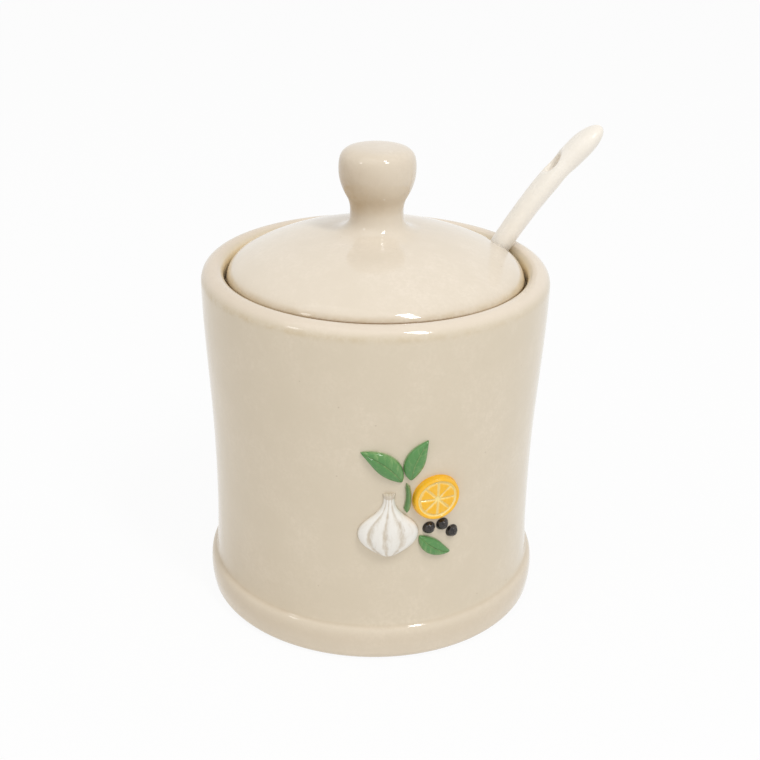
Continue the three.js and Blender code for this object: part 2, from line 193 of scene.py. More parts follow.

# Where the pot's glaze pools, pales, wears and is missing, and where shade and bounce light are painted on
# it
LINE_POOL_REACH = 0.4 * MM
LEDGE_POOL_REACH = 2 * MM
FLOOR_POOL_RISE = 3 * MM
FLOOR_POOL_WIDTH = 8 * MM
INNER_WALL_DEPTH = 1 * MM
FOOT_BLUSH_RISE = 0.5 * MM
FOOT_BLUSH_FADE = 1 * MM
CROWN_DROP = 2.4 * MM
CROWN_FADE = 1.6 * MM
BOUNCE_LIGHT_WIDTH = 1 * MM
BOUNCE_LIGHT_RISE = 1 * MM
RIM_WEAR_DROP = 3.4 * MM
RIM_WEAR_REACH = 1 * MM
LEDGE_BARE_RISE = 0.5 * MM
BASE_BARE_RISE = 0.35 * MM

# Where the lid's glaze pools, wears and is missing, and where shade and bounce light are painted on it.
# Pooled glaze and painted shade round the knob's neck: height over its seat, reach, share all round, share
# on the shaded left side and its power
NECK_POOLS_AND_SHADE = [
    (5 * MM, 3.6 * MM, 0.2, 0.2, 1),
    (1 * MM, 3.5 * MM, 0, 0.4, 2),
    (11 * MM, 6 * MM, 0, 0.6, 2),
]
NECK_TINT_RISE = 9 * MM
EDGE_TINT_RISE = 0.6 * MM
EDGE_TINT_FADE = 2.4 * MM
EDGE_WEAR_DROP = 0.7 * MM
EDGE_WEAR_REACH = 0.7 * MM
SEAT_BARE_RISE = 0.3 * MM

# Sizes of the marks in clay, glaze and enamel, and how deep each goes
CLOUD_SIZE = 16 * MM
MOTTLE_SIZE = 3.2 * MM
FINE_MOTTLE_SIZE = 1.1 * MM
RUN_SIZE = 4 * MM
CHIP_SIZE = 4 * MM
GRAIN_SIZE = 0.5 * MM
GRAIN_DEPTH = 60 * MICRON
SPECK_SPACING = 5 * MM
SPECK_SIZE = 0.35 * MM
PIT_SPACING = 3 * MM
PIT_SIZE = 0.22 * MM
PIT_DEPTH = 30 * MICRON
SWAY_SIZE = 9 * MM
SWAY_DEPTH = 120 * MICRON
PEEL_SIZE = 1.8 * MM
PEEL_DEPTH = 9 * MICRON
STROKE_SIZE = 1.1 * MM
STROKE_SHARES = (1, 1, 0.45)
SHEEN_SIZE = 1.5 * MM
DAB_SIZE = 1.6 * MM
DAB_DEPTH = 90 * MICRON
BARE_ROUGHNESS = 0.85

# Fineness of the meshes
PROFILE_STEP = 0.45 * MM
PROFILE_REACH = 0.45 * MM
ROUND_STEPS = 240
ARC_STEPS = 24
LID_VOXEL = 0.5 * MM
SPOON_VOXEL = 0.27 * MM
LID_PROFILE_REACH = 0.7 * PROFILE_REACH
LID_SMOOTHINGS = 8
SPOON_SMOOTHINGS = 20
HANDLE_STEPS = 48
BOWL_STEPS = 96
HOLE_STEPS = 64
OVERRUN = 1 * MM

# Camera, with its lens and sensor in millimetres, and light
CAMERA_PLACE = Vector((1.79 * MM, -356.82 * MM, 227.07 * MM))
CAMERA_PITCH = math.radians(24.39)
CAMERA_ROLL = math.radians(1.08)
CAMERA_LENS = 62.19
SENSOR_WIDTH = 36
WHITE_LEVEL = 0.995
SKY_LEVEL = 0.66
FLOOR_HALF = 2.5
FLOOR_SEEN_SHARE = 0.93

# Each lamp's azimuth from the front to the right and its elevation in degrees, its distance, width and
# height in metres and its power in watts
LAMPS = {
    "key": (36, 55, 1.1, 0.13, 0.42, 3.8),
    "sky": (-40, 60, 1.4, 1.2, 1.2, 2.4),
    "fill": (-55, 33, 1.1, 0.12, 0.16, 0.35),
}


# Meshes

def mesh_object(name, points, faces):
    """A smooth closed mesh with its faces pointing out."""
    mesh = bpy.data.meshes.new(name)
    mesh.from_pydata([tuple(p) for p in points], [], faces)
    shape = bmesh.new()
    shape.from_mesh(mesh)
    bmesh.ops.recalc_face_normals(shape, faces=shape.faces)
    shape.to_mesh(mesh)
    shape.free()
    mesh.shade_smooth()
    obj = bpy.data.objects.new(name, mesh)
    bpy.context.scene.collection.objects.link(obj)
    return obj


def skin(first, rings, last):
    """Points and faces of a closed skin over rings of points, with one point at each end."""
    count = rings.shape[1]
    points = np.vstack([first, rings.reshape(-1, 3), last])
    end = len(points) - 1
    pairs = [(k, (k + 1) % count) for k in range(count)]
    faces = [(0, 1 + b, 1 + a) for a, b in pairs]
    for ring in range(len(rings) - 1):
        low = 1 + ring * count
        high = low + count
        faces += [(low + a, low + b, high + b, high + a) for a, b in pairs]
    faces += [(end, end - count + a, end - count + b) for a, b in pairs]
    return points, faces


def turned(name, profile, steps):
    """A profile of (radius, height) points, from the axis to the axis, turned round Z."""
    angles = np.linspace(0, 2 * math.pi, steps, endpoint=False)
    radii = profile[1:-1, 0][:, None]
    heights = np.repeat(profile[1:-1, 1][:, None], steps, axis=1)
    rings = np.stack([radii * np.cos(angles), radii * np.sin(angles), heights], axis=-1)
    first = [0, 0, profile[0, 1]]
    last = [0, 0, profile[-1, 1]]
    return mesh_object(name, *skin(first, rings, last))


def arc(centre, radii, start, end):
    """Points on an ellipse round centre, from one angle to another."""
    angles = np.linspace(start, end, ARC_STEPS)
    return np.column_stack([
        centre[0] + radii[0] * np.cos(angles),
        centre[1] + radii[1] * np.sin(angles),
    ])


def bend(start, control, end):
    """Points on a quadratic curve."""
    t = np.linspace(0, 1, ARC_STEPS)[:, None]
    start, control, end = (np.array(p, float) for p in (start, control, end))
    return start * (1 - t) ** 2 + control * 2 * t * (1 - t) + end * t ** 2


def spline(points, steps):
    """Points on a smooth curve through the given ones."""
    points = np.array(points, float)
    padded = np.vstack([points[0], points, points[-1]])
    t = np.linspace(0, 1, steps, endpoint=False)[:, None]
    spans = []
    for a, b, c, d in zip(padded, padded[1:], padded[2:], padded[3:]):
        spans.append(b + (c - a) * t / 2 + (2 * a - 5 * b + 4 * c - d) * t ** 2 / 2
                     + (3 * b - a - 3 * c + d) * t ** 3 / 2)
    return np.vstack(spans + [points[-1:]])


def soften(profile, reach):
    """The profile at an even step, with its corners rounded as glaze rounds them."""
    lengths = np.hypot(*np.diff(profile, axis=0).T)
    profile = profile[np.concatenate([[True], lengths > 0])]
    along = np.concatenate([[0], np.cumsum(np.hypot(*np.diff(profile, axis=0).T))])
    even = np.linspace(0, along[-1], int(along[-1] / PROFILE_STEP) + 1)
    smooth = np.column_stack([np.interp(even, along, profile[:, k]) for k in (0, 1)])
    margin = math.ceil(4 * reach / PROFILE_STEP)
    mirror = np.array([-1, 1])
    before = smooth[margin:0:-1] * mirror
    after = smooth[-2:-margin - 2:-1] * mirror
    longer = np.vstack([before, smooth, after])
    weights = np.exp(-(np.arange(-margin, margin + 1) * PROFILE_STEP / reach) ** 2)
    weights /= weights.sum()
    result = np.column_stack([np.convolve(longer[:, k], weights, mode="valid") for k in (0, 1)])
    result[[0, -1], 0] = 0
    return result


def coordinates(obj):
    values = np.zeros(len(obj.data.vertices) * 3)
    obj.data.vertices.foreach_get("co", values)
    return values.reshape(-1, 3)


def place_points(obj, points):
    obj.data.vertices.foreach_set("co", np.asarray(points, float).ravel())
    obj.data.update()


def paint(obj, name, values):
    """Keeps one number for each point, which the materials read."""
    attribute = obj.data.attributes.new(name, "FLOAT", "POINT")
    attribute.data.foreach_set("value", np.asarray(values, np.float32))


def applied(obj, kind, **settings):
    """Runs one modifier on the object and keeps its result."""
    modifier = obj.modifiers.new(kind.title(), kind)
    for setting, value in settings.items():
        setattr(modifier, setting, value)
    scene_state = bpy.context.evaluated_depsgraph_get()
    mesh = bpy.data.meshes.new_from_object(obj.evaluated_get(scene_state))
    obj.modifiers.clear()
    old = obj.data
    obj.data = mesh
    bpy.data.meshes.remove(old)
    mesh.name = obj.name
    mesh.shade_smooth()


def cut(obj, tool):
    """Takes the tool's shape out of the object, and removes the tool."""
    applied(obj, "BOOLEAN", operation="DIFFERENCE", solver="EXACT", object=tool)
    bpy.data.objects.remove(tool)


def band(values, middle, reach):
    """1 at the middle, falling to 0 over the reach on both sides."""
    return np.exp(-((values - middle) / reach) ** 2)


def rising(values, start, reach):
    """0 up to the start, then rising to 1 over the reach."""
    return np.clip((values - start) / reach, 0, 1)


def falling(values, end, reach):
    """1 at first, then falling over the reach to 0 at the end."""
    return np.clip((end - values) / reach, 0, 1)


def bearings(points):
    """Each point's radius and height, how far it lies on the shaded side from 0 at the right to 1 at the
    left, which sets where shade is painted, and its way back from -1 in front to 1 behind."""
    radius = np.hypot(points[:, 0], points[:, 1])
    reach = np.maximum(radius, AXIS_REACH)
    return radius, points[:, 2], 0.5 - 0.5 * points[:, 0] / reach, points[:, 1] / reach


def uneven(obj, amount, seed):
    """Moves the sides in by up to the amount, in slow waves, as hand-finished clay is."""
    random = np.random.default_rng(seed)
    points = coordinates(obj)
    angle = np.arctan2(points[:, 1], points[:, 0])
    wave = np.zeros(len(points))
    for turns in (1, 2, 3, 5):
        start = random.uniform(0, 2 * math.pi)
        climb = random.uniform(-WAVE_CLIMB, WAVE_CLIMB)
        wave += np.sin(turns * angle + start + climb * points[:, 2]) / turns
    share = (wave - wave.min()) / (wave.max() - wave.min())
    radius = np.hypot(points[:, 0], points[:, 1])
    fade = rising(radius, 0, CAVITY_RADIUS / 2)
    points[:, :2] *= (1 - amount * share * fade / np.maximum(radius, AXIS_REACH))[:, None]
    place_points(obj, points)


def fit(obj, body, slot, *nodes):
    """The object moves with a body and stands for the part's nodes, which it hides. The slot is not used.
    """
    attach(obj, body)
    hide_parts(*nodes)


# Material graphs

def srgb(red, green, blue):
    """A colour as it reads in an image, as the linear numbers that shaders take."""
    linear = []
    for level in (red, green, blue):
        share = level / 255
        linear.append(share / 12.92 if share <= 0.04045 else ((share + 0.055) / 1.055) ** 2.4)
    return (*linear, 1)


def node(tree, kind, inputs=(), **settings):
    """A shader node, with its inputs linked where they are sockets and set where they are values."""
    made = tree.nodes.new(kind)
    for setting, value in settings.items():
        setattr(made, setting, value)
    for key, value in dict(inputs).items():
        if isinstance(value, bpy.types.NodeSocket):
            tree.links.new(value, made.inputs[key])
        else:
            made.inputs[key].default_value = value
    return made


def noise(tree, place, size, detail=2, roughness=0.5):
    made = node(tree, "ShaderNodeTexNoise", {
        "Vector": place, "Scale": 1 / size, "Detail": detail, "Roughness": roughness,
    })
    return made.outputs["Fac"]


def ramp(tree, value, low, high, start=0, end=1):
    """The value from low to high, as a soft step from start to end."""
    made = node(tree, "ShaderNodeMapRange", {
        "Value": value, "From Min": low, "From Max": high, "To Min": start, "To Max": end,
    }, interpolation_type="SMOOTHSTEP")
    return made.outputs["Result"]


def math_node(tree, operation, a, b):
    made = node(tree, "ShaderNodeMath", {0: a, 1: b}, operation=operation)
    return made.outputs["Value"]


def mix(tree, share, a, b):
    """Colour a at share 0 and colour b at share 1."""
    made = node(tree, "ShaderNodeMix", {"Factor": share, "A": (0, 0, 0, 1)}, data_type="RGBA")
    for key, value in ((6, a), (7, b)):
        if isinstance(value, bpy.types.NodeSocket):
            tree.links.new(value, made.inputs[key])
        else:
            made.inputs[key].default_value = value
    return made.outputs[2]


def painted(tree, name):
    """The number that paint() kept under this name."""
    return node(tree, "ShaderNodeAttribute", attribute_name=name).outputs["Fac"]


def blank_material(name):
    material = bpy.data.materials.new(name)
    material.use_nodes = True
    tree = material.node_tree
    return material, tree, tree.nodes["Principled BSDF"]


def object_place(tree):
    return node(tree, "ShaderNodeTexCoord").outputs["Object"]


def specks(tree, place, spacing, size, kept):
    """1 inside small round specks, of which only the given share shows."""
    cells = node(tree, "ShaderNodeTexVoronoi", {"Vector": place, "Scale": 1 / spacing})
    inside = ramp(tree, cells.outputs["Distance"], size / spacing, 0)
    channels = node(tree, "ShaderNodeSeparateColor", {"Color": cells.outputs["Color"]})
    shown = math_node(tree, "LESS_THAN", channels.outputs["Red"], kept)
    return math_node(tree, "MULTIPLY", inside, shown)


def bumps(tree, heights):
    """Stacked bump nodes for pairs of a height from 0 to 1 and its size in metres."""
    normal = None
    for height, size in heights:
        inputs = {"Height": height, "Distance": size, "Strength": 1}
        if normal is not None:
            inputs["Normal"] = normal
        normal = node(tree, "ShaderNodeBump", inputs).outputs["Normal"]
    return normal


# Colours of clay, glaze and what shows through it, and of painted shade and painted bounce light
CLAY = srgb(214, 193, 160)
# Pooled glaze and painted shade
POOL_AND_SHADE = srgb(168, 140, 98)
SHADOWED = srgb(120, 86, 36)
# Worn glaze, and painted shade on the rim's left
WEAR_AND_SHADE = srgb(196, 174, 134)
BLUSH = srgb(236, 222, 206)
# Painted bounce light: warm light reflected from the lid
PAINTED_BOUNCE_LIGHT = srgb(240, 222, 184)
SPECK = srgb(150, 120, 84)
POT_CREAM = srgb(221, 208, 187)
LID_CREAM = srgb(229, 217, 200)
SPOON_IVORY = srgb(250, 244, 235)
THIN_ENAMEL = srgb(222, 209, 187)
PALE_SHARES = (1.035, 1.035, 1.035)
DEEP_SHARES = (0.955, 0.95, 0.925)
DARK_CLAY_SHARES = (0.9, 0.9, 0.9)
COAT = "_coat"


def tinted(colour, shares):
    """The colour with each channel times its share."""
    return tuple(min(1, level * share) for level, share in zip(colour, shares)) + (1,)


def glaze(slot, colour, rough, wavy=1, speckled=0.35):
    """Cream glaze over buff clay. It is darker where glaze pools and where shade is painted, dark brown
    with painted shade in the gap between the lid and the rim, thin over the clay where worn, with painted
    shade on the rim's left, paler where painted blush, yellower with painted bounce light, and missing
    where painted bare."""
    material, tree, shader = blank_material(slot + COAT)
    place = object_place(tree)
    pale = tinted(colour, PALE_SHARES)
    deep = tinted(colour, DEEP_SHARES)
    clouds = ramp(tree, noise(tree, place, CLOUD_SIZE, 3, 0.6), 0.3, 0.7)
    mottle = ramp(tree, noise(tree, place, MOTTLE_SIZE, 4, 0.6), 0.32, 0.68)
    fine = ramp(tree, noise(tree, place, FINE_MOTTLE_SIZE, 3, 0.7), 0.35, 0.65)
    spots = specks(tree, place, SPECK_SPACING, SPECK_SIZE, 0.3)
    runs = ramp(tree, noise(tree, place, RUN_SIZE, 3), 0.2, 0.8, 0.8, 1.1)
    chips = ramp(tree, noise(tree, place, CHIP_SIZE, 4, 0.7), 0.3, 0.7)
    base = mix(tree, clouds, deep, pale)
    layers = [
        (math_node(tree, "MULTIPLY", mottle, 0.5), deep),
        (math_node(tree, "MULTIPLY", fine, 2 * speckled), deep),
        (math_node(tree, "MULTIPLY", spots, speckled), SPECK),
        (painted(tree, "blush"), BLUSH),
        # Painted bounce light, then pooled glaze and painted shade, wear with painted shade, and painted
        # shade in the gap
        (painted(tree, "brim"), PAINTED_BOUNCE_LIGHT),
        (math_node(tree, "MULTIPLY", painted(tree, "pool"), runs), POOL_AND_SHADE),
        (math_node(tree, "MULTIPLY", painted(tree, "worn"), chips), WEAR_AND_SHADE),
        (painted(tree, "seam"), SHADOWED),
    ]
    for share, layer in layers:
        base = mix(tree, share, base, layer)
    grain = ramp(tree, noise(tree, place, GRAIN_SIZE, 4, 0.7), 0.35, 0.65)
    clay = mix(tree, grain, tinted(CLAY, DARK_CLAY_SHARES), CLAY)
    bare = painted(tree, "bare")
    gloss = ramp(tree, mottle, 0, 1, rough * 0.8, rough * 1.25)
    rough_out = node(tree, "ShaderNodeMapRange", {
        "Value": bare, "To Min": gloss, "To Max": BARE_ROUGHNESS,
    }).outputs["Result"]
    tree.links.new(mix(tree, bare, base, clay), shader.inputs["Base Color"])
    tree.links.new(rough_out, shader.inputs["Roughness"])
    pits = specks(tree, place, PIT_SPACING, PIT_SIZE, 0.25)
    heights = [
        (noise(tree, place, SWAY_SIZE), SWAY_DEPTH * wavy),
        (noise(tree, place, PEEL_SIZE), PEEL_DEPTH * wavy),
        (math_node(tree, "SUBTRACT", 1, pits), PIT_DEPTH * wavy),
        (math_node(tree, "MULTIPLY", grain, bare), GRAIN_DEPTH),
    ]
    tree.links.new(bumps(tree, heights), shader.inputs["Normal"])
    return material


def enamel(slot, main, second, rough):
    """Painted clay under clear glaze: main where tone is 0 and second where it is 1, brushed on."""
    material, tree, shader = blank_material(slot + COAT)
    place = object_place(tree)
    brush = node(tree, "ShaderNodeMapping", {"Vector": place, "Scale": STROKE_SHARES}).outputs["Vector"]
    strokes = ramp(tree, noise(tree, brush, STROKE_SIZE, 3, 0.6), 0.3, 0.7, -0.22, 0.22)
    tone = math_node(tree, "ADD", painted(tree, "tone"), strokes)
    paint_colour = mix(tree, ramp(tree, tone, 0, 1), main, second)
    edge = ramp(tree, painted(tree, "edge"), 0.35, 0.95)
    tree.links.new(mix(tree, edge, paint_colour, THIN_ENAMEL), shader.inputs["Base Color"])
    gloss = ramp(tree, noise(tree, place, SHEEN_SIZE), 0.3, 0.7, rough * 0.7, rough * 1.4)
    tree.links.new(gloss, shader.inputs["Roughness"])
    dabs = noise(tree, place, DAB_SIZE)
    tree.links.new(bumps(tree, [(dabs, DAB_DEPTH)]), shader.inputs["Normal"])
    return material


# Pot

def wall_radius(height):
    """Outer radius of the wall between the foot's crease and the rim."""
    flare = np.clip((WAIST_HEIGHT - height) / (WAIST_HEIGHT - CREASE_HEIGHT), 0, None)
    lower = WAIST_RADIUS + (CREASE_RADIUS - WAIST_RADIUS) * flare ** 3
    share = np.clip((height - WAIST_HEIGHT) / (SHOULDER_HEIGHT - WAIST_HEIGHT), 0, 1) ** WALL_CURVE_SHARE
    upper = WAIST_RADIUS + WAIST_DEPTH * share ** 2 * (3 - 2 * share)
    return np.where(height < WAIST_HEIGHT, lower, upper)


def gap_shade_line(depth):
    """Painted shade: a dark line in the gap between the lid and the rim, crisp above and fading below."""
    return rising(depth, 0, SEAM_FADE) * falling(depth, SEAM_WIDTH, SEAM_END_FADE)


def pot_profile():
    """The pot's section, from the middle of its base round the rim to the middle of its floor."""
    roll_centre = ROLL_RADIUS - ROLL_BULGE
    roll_end = math.acos((CREASE_RADIUS - roll_centre) / ROLL_BULGE)
    roll_half = (CREASE_HEIGHT - ROLL_MIDDLE) / math.sin(roll_end)
    roll_start = math.asin((FOOT_EDGE_ROUNDING - ROLL_MIDDLE) / roll_half)
    roll_foot = roll_centre + ROLL_BULGE * math.cos(roll_start)
    crest = GALLERY_RADIUS + RIM_INNER_ROUNDING
    shoulder_turn = math.asin((FOOT_SHOULDER_HEIGHT - ROLL_MIDDLE) / roll_half)
    shoulder = (roll_centre + ROLL_BULGE * math.cos(shoulder_turn), FOOT_SHOULDER_HEIGHT)
    over_shoulder = (shoulder[0] - FOOT_SHOULDER_LEAN, shoulder[1] + FOOT_SHOULDER_CLIMB)
    line = (FOOT_LINE_RADIUS, FOOT_LINE_HEIGHT)
    over_line = (line[0] - FOOT_LINE_TURN, line[1] + FOOT_LINE_CLIMB)
    heights = np.linspace(FOOT_SWEEP_HEIGHT, SHOULDER_HEIGHT, 80)
    wall = np.column_stack([wall_radius(heights), heights])
    return np.vstack([
        [[0, 0], [roll_foot - FOOT_EDGE_ROUNDING, 0]],
        bend((roll_foot - FOOT_EDGE_ROUNDING, 0), (roll_foot, 0), (roll_foot, FOOT_EDGE_ROUNDING)),
        arc((roll_centre, ROLL_MIDDLE), (ROLL_BULGE, roll_half), roll_start, shoulder_turn),
        bend(shoulder, over_shoulder, line),
        bend(line, over_line, wall[0]),
        wall,
        arc((crest, SHOULDER_HEIGHT), (RIM_RADIUS - crest, RIM_SHOULDER_DROP), 0, math.pi / 2),
        arc((crest, JAR_HEIGHT - RIM_INNER_ROUNDING), (RIM_INNER_ROUNDING,) * 2, math.pi / 2, math.pi),
        [[GALLERY_RADIUS, LEDGE_HEIGHT], [CAVITY_RADIUS, LEDGE_HEIGHT]],
        arc((CAVITY_RADIUS - FLOOR_FILLET, FLOOR_HEIGHT + FLOOR_FILLET), (FLOOR_FILLET,) * 2,
            0, -math.pi / 2),
        [[0, FLOOR_HEIGHT]],
    ])


def paint_pot(pot, points):
    """Where the pot's glaze is darker, paler, thin or missing: pooled glaze and painted shade, painted
    shade on the left, away from the key lamp, and painted bounce light inside the rim.
    """
    radius, height, shaded_side, back = bearings(points)
    outside = radius > (CAVITY_RADIUS + WAIST_RADIUS) / 2
    inner_wall = ~outside & (radius > GALLERY_RADIUS - INNER_WALL_DEPTH)
    low_share = falling(height, WAIST_HEIGHT, WAIST_HEIGHT - FOOT_LINE_HEIGHT) * (height > FOOT_LINE_HEIGHT)
    # Pooled glaze and painted shade in the line above the foot and in the corners of the ledge and the
    # floor inside
    pool = 0.16 * band(height, FOOT_LINE_HEIGHT, LINE_POOL_REACH) * outside
    pool += 0.3 * band(height, LEDGE_HEIGHT, LEDGE_POOL_REACH) * ~outside
    floor_pool_and_shade = band(height, FLOOR_HEIGHT, FLOOR_POOL_RISE) * band(radius, CAVITY_RADIUS, FLOOR_POOL_WIDTH)
    pool += 0.35 * floor_pool_and_shade
    # Painted shade on the left, the side away from the key lamp, strongest low on the wall
    pool += (0.18 * shaded_side ** 3 + 0.15 * shaded_side ** 2 * low_share) * outside
    # Painted shade in the gap inside the rim, higher at the back
    seam_height = SEAM_HEIGHT - RIM_SEAM_DROP + SEAM_RISE * np.clip(back, 0, 1)
    foot = falling(height, FOOT_LINE_HEIGHT + FOOT_BLUSH_RISE, FOOT_BLUSH_FADE)
    crown = rising(height, JAR_HEIGHT - CROWN_DROP, CROWN_FADE)
    # Painted bounce light on the rim's inner wall, a warm reflection from the lid
    brim = falling(radius, GALLERY_RADIUS + BOUNCE_LIGHT_WIDTH, BOUNCE_LIGHT_WIDTH) * (height > LEDGE_HEIGHT + BOUNCE_LIGHT_RISE)
    # Thin glaze where the rim's shoulder is worn, with painted shade added on the left
    wear = band(height, JAR_HEIGHT - RIM_WEAR_DROP, RIM_WEAR_REACH)
    on_ledge = (np.abs(height - LEDGE_HEIGHT) < LEDGE_BARE_RISE) & (radius < GALLERY_RADIUS)
    paint(pot, "pool", pool)
    paint(pot, "seam", inner_wall * gap_shade_line(seam_height - height))
    paint(pot, "blush", np.maximum(0.2 * foot, 0.52 * crown) * outside)
    paint(pot, "brim", 0.75 * brim * inner_wall)
    paint(pot, "worn", (0.15 + 0.5 * shaded_side) * wear * outside)
    paint(pot, "bare", np.clip(0.9 * on_ledge + (height < BASE_BARE_RISE), 0, 1))


def make_pot():
    pot = turned("glazed_pot", soften(pot_profile(), PROFILE_REACH), ROUND_STEPS)
    points = coordinates(pot)
    paint_pot(pot, points)
    height = points[:, 2]
    front = np.clip(-points[:, 1] / ROLL_RADIUS, 0, 1)
    top = rising(height, LEDGE_HEIGHT, JAR_HEIGHT - LEDGE_HEIGHT)
    sag = FOOT_SAG * front ** 2 * band(height, FOOT_LINE_HEIGHT, FOOT_SAG_REACH)
    dip = RIM_DIP * front * top ** 2 * (3 - 2 * top)
    points[:, 2] = np.maximum(height - sag - dip, 0)
    place_points(pot, points)
    uneven(pot, POT_UNEVENNESS, seed=4)
    pot.data.materials.append(glaze("jar_glaze", POT_CREAM, 0.09))
    fit(pot, "jar", "jar_glaze", "jar_body")


# Lid with its knob

def dome_height(radius):
    """Height of the lid's top at a radius outside its boss."""
    return DOME_EDGE + LID_RISE * (1 - (radius / LID_RADIUS) ** DOME_POWER_SHARE)


def lid_profile():
    """The section of the lid and its knob, from the middle of the dish round the edge to the knob's top."""
    dish_radius = LID_RADIUS - LID_SEAT_WIDTH
    dish_depth = DOME_TOP - LID_CENTRE_THICKNESS - LEDGE_HEIGHT
    dish = np.linspace(0, 1, 60)
    shoulder = LID_RADIUS - LID_EDGE_ROUNDING
    fillet_foot = BOSS_RADIUS + BOSS_FILLET
    dome = np.linspace(shoulder, fillet_foot, 60)
    knob_height = KNOB_TOP - KNOB_SEAT
    knob = [(BOSS_RADIUS, KNOB_SEAT)]
    knob += [(KNOB_RADIUS * r, KNOB_SEAT + knob_height * h) for r, h in KNOB_SHARES]
    knob += [(0, KNOB_TOP)]
    return np.vstack([
        np.column_stack([dish_radius * dish, LEDGE_HEIGHT + dish_depth * (1 - dish ** DISH_POWER_SHARE)]),
        [[LID_RADIUS - LID_SEAT_CHAMFER, LEDGE_HEIGHT], [LID_RADIUS, LEDGE_HEIGHT + LID_SEAT_CHAMFER]],
        bend((LID_RADIUS, DOME_EDGE - LID_EDGE_ROUNDING), (LID_RADIUS, DOME_EDGE),
             (shoulder, dome_height(shoulder))),
        np.column_stack([dome, dome_height(dome)]),
        bend((fillet_foot, dome_height(fillet_foot)), (BOSS_RADIUS, DOME_TOP), (BOSS_RADIUS, KNOB_SEAT)),
        spline(knob, 12),
    ])


def spoon_bite(spoon_place):
    """The shape that the lid's edge loses round the handle. It follows the handle's slant."""
    along = (LEDGE_HEIGHT - spoon_place.z) / math.cos(SPOON_SLANT)
    high = (DOME_TOP - spoon_place.z) / math.cos(SPOON_SLANT)
    half_width = handle_size(HANDLE_ROOT_WIDTH, HANDLE_END_WIDTH, high) / 2 + BITE_GAP
    face = handle_size(HANDLE_ROOT_THICKNESS, HANDLE_END_THICKNESS, high) / 2 + BITE_GAP
    back = arc((half_width - face, 0), (half_width,) * 2, math.pi / 2, 3 * math.pi / 2)
    outline = np.vstack([back, [[LID_RADIUS, -half_width], [LID_RADIUS, half_width]]])
    levels = np.linspace(along - LID_SEAT_WIDTH, high + LID_SEAT_WIDTH, 2)
    rings = np.stack([np.column_stack([outline, np.full(len(outline), level)]) for level in levels])
    middle = outline.mean(axis=0)
    points, faces = skin([*middle, levels[0]], rings, [*middle, levels[-1]])
    return mesh_object("bite", leaned(points, spoon_place), faces)


def paint_lid(lid):
    """Where the lid's glaze is darker, yellower, thin or missing: pooled glaze and painted shade, painted
    bounce light, wear and bare clay.
    """
    radius, height, shaded_side, back = bearings(coordinates(lid))
    front = np.clip(-back, 0, 1)
    # Pooled glaze and painted shade round the knob's neck, more on the left, the shaded side
    neck = 0.12 * rising(height, KNOB_SEAT, NECK_TINT_RISE)
    for rise, reach, round_share, shaded_side_share, power in NECK_POOLS_AND_SHADE:
        neck += band(height, KNOB_SEAT + rise, reach) * (round_share + shaded_side_share * shaded_side ** power)
    neck *= radius < KNOB_RADIUS
    side = radius > LID_RADIUS - LID_EDGE_ROUNDING
    outer = radius > LID_RADIUS - LID_SEAT_WIDTH
    # Pooled glaze and painted shade on the lid's edge, strongest at the front left
    edge = falling(height, DOME_EDGE + EDGE_TINT_RISE, EDGE_TINT_FADE) * outer
    # Painted shade in the gap round the lid, higher at the front
    seam_height = SEAM_HEIGHT + SEAM_RISE * np.sqrt(front)
    paint(lid, "pool", neck + (0.05 + 0.7 * shaded_side * front) * edge)
    paint(lid, "seam", side * gap_shade_line(seam_height - height))
    paint(lid, "worn", 0.4 * band(height, DOME_EDGE - EDGE_WEAR_DROP, EDGE_WEAR_REACH) * outer)
    paint(lid, "blush", np.zeros(len(height)))
    # Painted bounce light on the lid's edge at the sides
    paint(lid, "brim", 0.8 * edge * (1 - front))
    paint(lid, "bare", 0.9 * (height < LEDGE_HEIGHT + SEAT_BARE_RISE))


def make_lid(spoon_place):
    lid = turned("glazed_lid", soften(lid_profile(), LID_PROFILE_REACH), ROUND_STEPS)
    cut(lid, spoon_bite(spoon_place))
    applied(lid, "REMESH", mode="VOXEL", voxel_size=LID_VOXEL)
    applied(lid, "SMOOTH", factor=0.5, iterations=LID_SMOOTHINGS)
    paint_lid(lid)
    uneven(lid, LID_UNEVENNESS, seed=9)
    lid.data.materials.append(glaze("lid_glaze", LID_CREAM, 0.08))
    fit(lid, "lid", "lid_glaze", "lid", "lid_knob")


# Spoon

def handle_share(along):
    """0 up to the handle's bend, then rising to 1 at its end."""
    return np.maximum(0, (along - SPOON_LENGTH + HANDLE_BEND_LENGTH) / HANDLE_BEND_LENGTH)


def handle_back(along):
    """How far the handle's middle bends back."""
    return HANDLE_BEND * handle_share(along) ** HANDLE_BEND_POWER_SHARE


def handle_turn(along):
    """The angle by which the handle turns back."""
    slope = HANDLE_BEND * HANDLE_BEND_POWER_SHARE / HANDLE_BEND_LENGTH
    return np.arctan(slope * handle_share(along) ** (HANDLE_BEND_POWER_SHARE - 1))


def handle_size(root_size, end_size, along):
    """A width or thickness that grows from the bowl to the handle's end."""
    root = 2 * BOWL_HALF_LENGTH
    share = np.maximum(0, (along - root) / (SPOON_LENGTH - root))
    return root_size + (end_size - root_size) * share ** 3


def handle_ring(along, half_thickness, half_width):
    """An oval section, square to the handle's bend."""
    angles = np.linspace(0, 2 * math.pi, HANDLE_STEPS, endpoint=False)
    turn = handle_turn(along)
    back = half_thickness * np.cos(angles)
    return np.column_stack([
        handle_back(along) + back * math.cos(turn),
        half_width * np.sin(angles),
        along - back * math.sin(turn),
    ])


